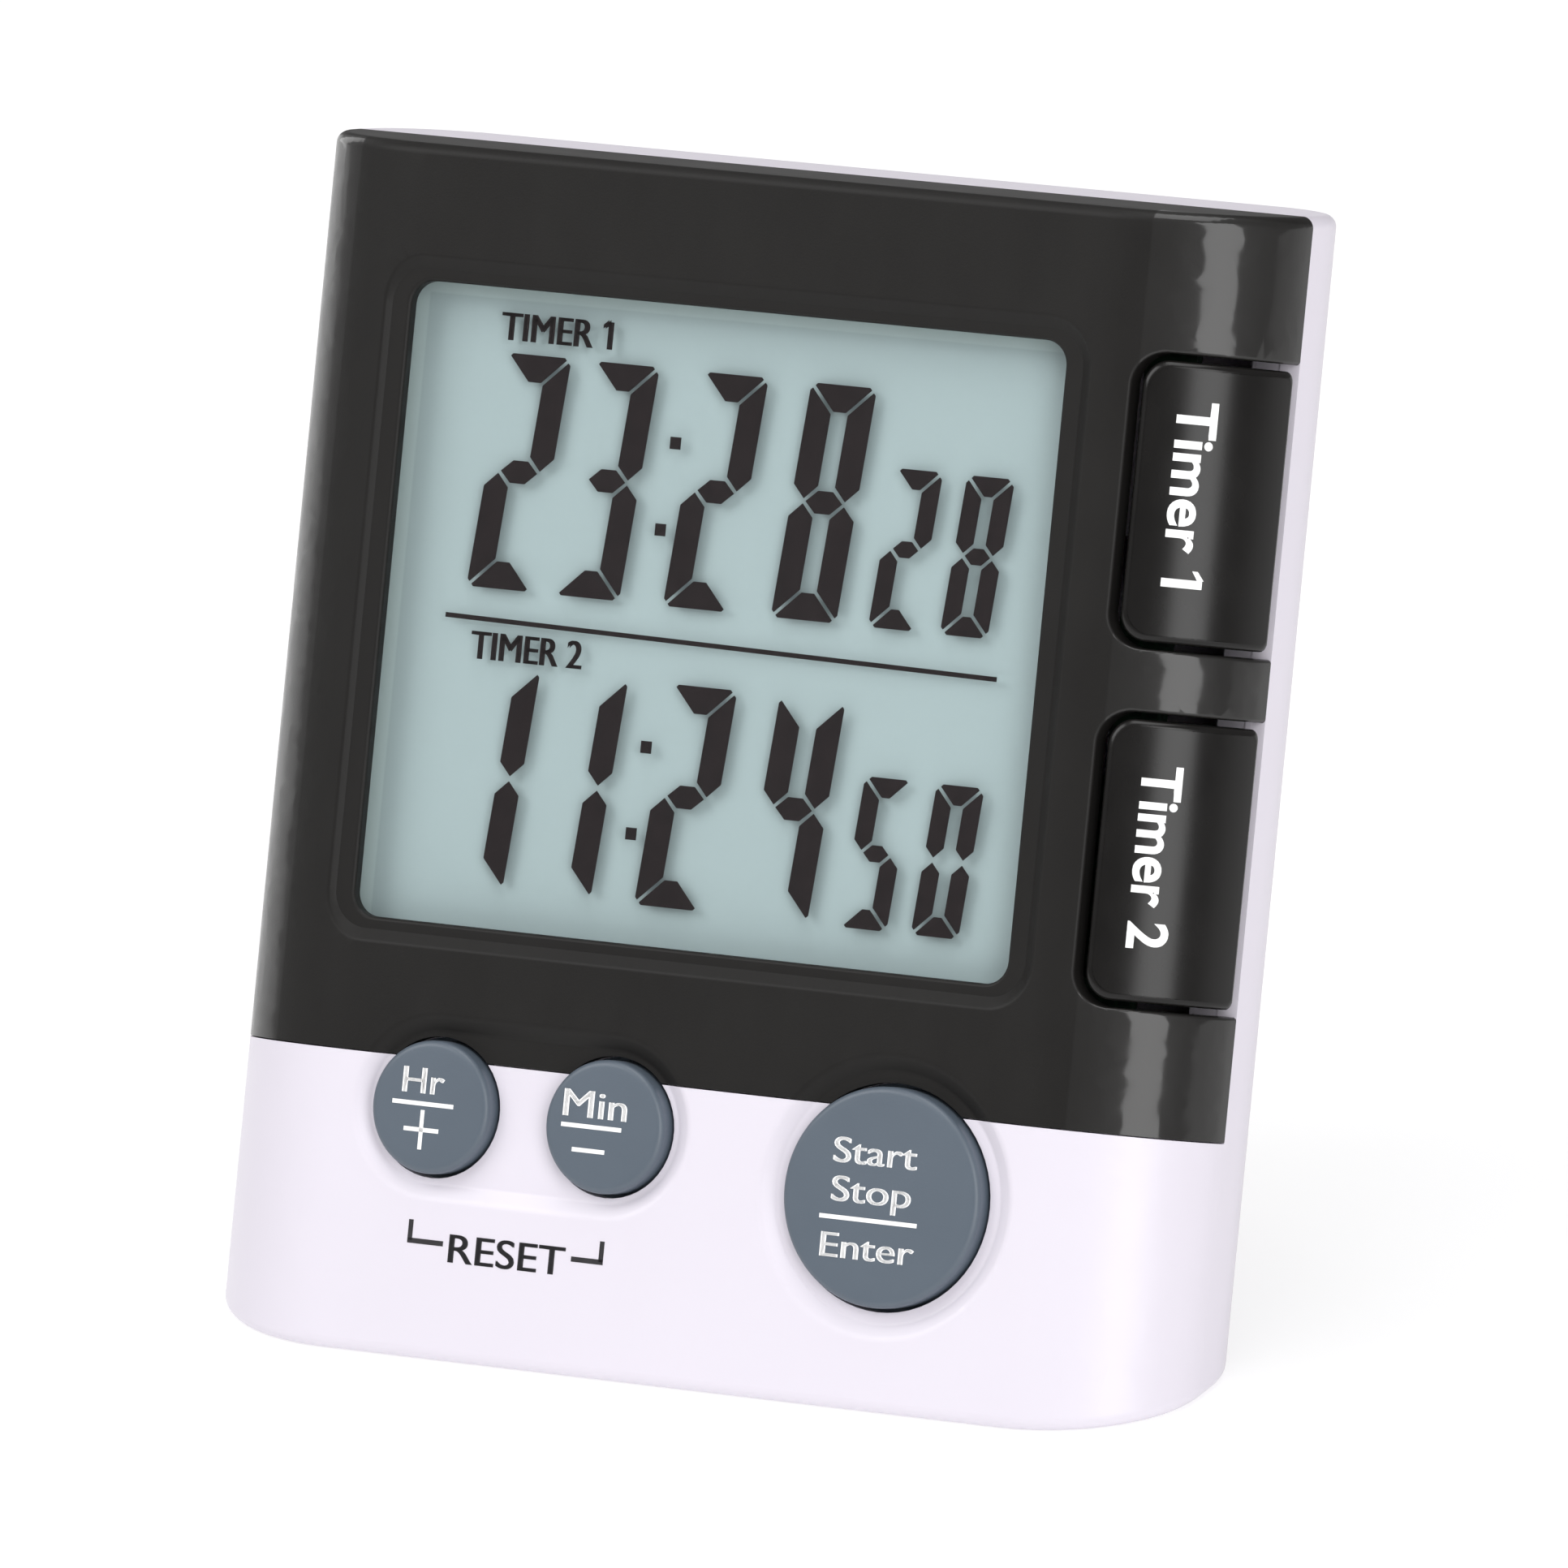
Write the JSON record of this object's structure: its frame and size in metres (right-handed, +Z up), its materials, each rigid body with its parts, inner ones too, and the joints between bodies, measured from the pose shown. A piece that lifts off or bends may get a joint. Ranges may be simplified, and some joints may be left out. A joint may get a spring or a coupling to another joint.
{
  "type": "lab timer",
  "caption": "Two-channel digital lab timer with a leaning case, LCD window, round front buttons, side keys and a folding easel stand.",
  "frame": {"origin": "middle of the sloping underside that the timer stands on", "axes": "+Z up, +X to the right of someone facing the display, +Y backwards; the front leans back 21 degrees on its open stand"},
  "size_m": [0.0802, 0.0498, 0.0829],
  "materials": {
    "white_case": "fine satin moulded ABS",
    "black_panel": "semi-gloss black ABS",
    "black_keys": "gloss black ABS",
    "grey_caps": "satin slate-grey ABS",
    "clear_lens": "clear acrylic",
    "lcd_glass": "polarised display glass",
    "lcd_reflector": "matte foil",
    "inner_plastic": "matte ABS",
    "black_rubber": "matte silicone",
    "grey_rubber": "matte silicone",
    "board": "solder resist",
    "component": "epoxy",
    "steel": "zinc plated",
    "nickel": "nickel plated",
    "brass": "plain",
    "battery_label": "printed sleeve",
    "wire": "PVC insulation",
    "magnet": "bare ferrite"
  },
  "bodies": {
    "case": {"front_case": "white_case", "bezel_panel": "black_panel", "rear_case": "white_case", "window_lens": "clear_lens", "lcd_front_glass": "lcd_glass", "lcd_rear_glass": "lcd_glass", "lcd_reflector": "lcd_reflector", "lcd_frame": "inner_plastic", "zebra_strip": "black_rubber", "circuit_board": "board", "board_parts": "component", "chip_blob": "component", "crystal": "nickel", "keypad_membrane": "grey_rubber", "side_switches": "component", "piezo_buzzer": "brass", "battery": "battery_label", "battery_spring": "nickel", "battery_plate_minus": "nickel", "battery_plate_plus": "nickel", "battery_wires": "wire", "buzzer_wires": "wire", "case_screws": "steel", "board_screws": "steel", "stand_pin": "steel", "magnet_left": "magnet", "magnet_right": "magnet"},
    "hour_button": {"hour_button": "grey_caps"},
    "minute_button": {"minute_button": "grey_caps"},
    "start_stop_button": {"start_stop_button": "grey_caps"},
    "timer_1_key": {"timer_1_key": "black_keys"},
    "timer_2_key": {"timer_2_key": "black_keys"},
    "battery_door": {"battery_door": "white_case"},
    "easel_stand": {"easel_stand": "white_case"}
  },
  "joints": [
    {"name": "hour_press", "type": "slide", "parent": "case", "child": "hour_button", "axis": [0, 0.9336, -0.3584], "range_m": [0, 0.0008], "stiffness_N_per_m": 600, "springref_m": -0.0008},
    {"name": "minute_press", "type": "slide", "parent": "case", "child": "minute_button", "axis": [0, 0.9336, -0.3584], "range_m": [0, 0.0008], "stiffness_N_per_m": 600, "springref_m": -0.0008},
    {"name": "start_stop_press", "type": "slide", "parent": "case", "child": "start_stop_button", "axis": [0, 0.9336, -0.3584], "range_m": [0, 0.0008], "stiffness_N_per_m": 600, "springref_m": -0.0008},
    {"name": "timer_1_press", "type": "slide", "parent": "case", "child": "timer_1_key", "axis": [0, 0.9336, -0.3584], "range_m": [0, 0.0006], "stiffness_N_per_m": 700, "springref_m": -0.0008},
    {"name": "timer_2_press", "type": "slide", "parent": "case", "child": "timer_2_key", "axis": [0, 0.9336, -0.3584], "range_m": [0, 0.0006], "stiffness_N_per_m": 700, "springref_m": -0.0008},
    {"name": "stand_fold", "type": "hinge", "parent": "case", "child": "easel_stand", "pos_m": [0, 0.02696, 0.04902], "axis": [-1, 0, 0], "range_deg": [0, 35.07]},
    {"name": "battery_door_pull", "type": "slide", "parent": "case", "child": "battery_door", "axis": [0, 0.9336, -0.3584], "range_m": [0, 0.03]}
  ]
}
